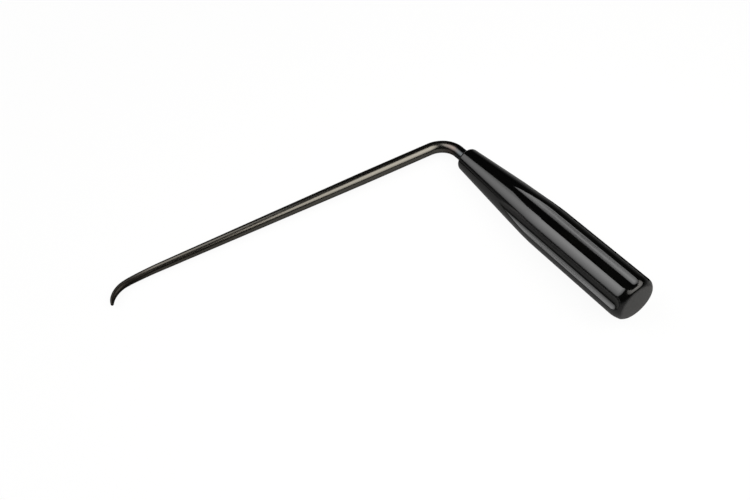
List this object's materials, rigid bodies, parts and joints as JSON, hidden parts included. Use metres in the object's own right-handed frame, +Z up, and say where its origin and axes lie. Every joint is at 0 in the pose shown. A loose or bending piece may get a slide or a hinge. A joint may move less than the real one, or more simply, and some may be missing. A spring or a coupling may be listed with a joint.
{
  "type": "handheld surgical retractor",
  "caption": "Handheld retractor: a slim round steel shaft, bent near a right angle and hooked at its tip, moulded into a fluted tapered plastic handle.",
  "frame": {"origin": "centre of the bounding box at the surface that the tool lies on", "axes": "+Z up as the tool lies at rest on its side; the shaft runs along -X from its bend to the hook; the handle points to -Y"},
  "size_m": [0.1624, 0.1028, 0.0198],
  "materials": {
    "blackened_steel": "dark, fine satin polish, blackened",
    "handle_plastic": "black, moulded, high gloss"
  },
  "bodies": {
    "root": {"shaft": "blackened_steel", "handle": "handle_plastic"}
  },
  "joints": []
}
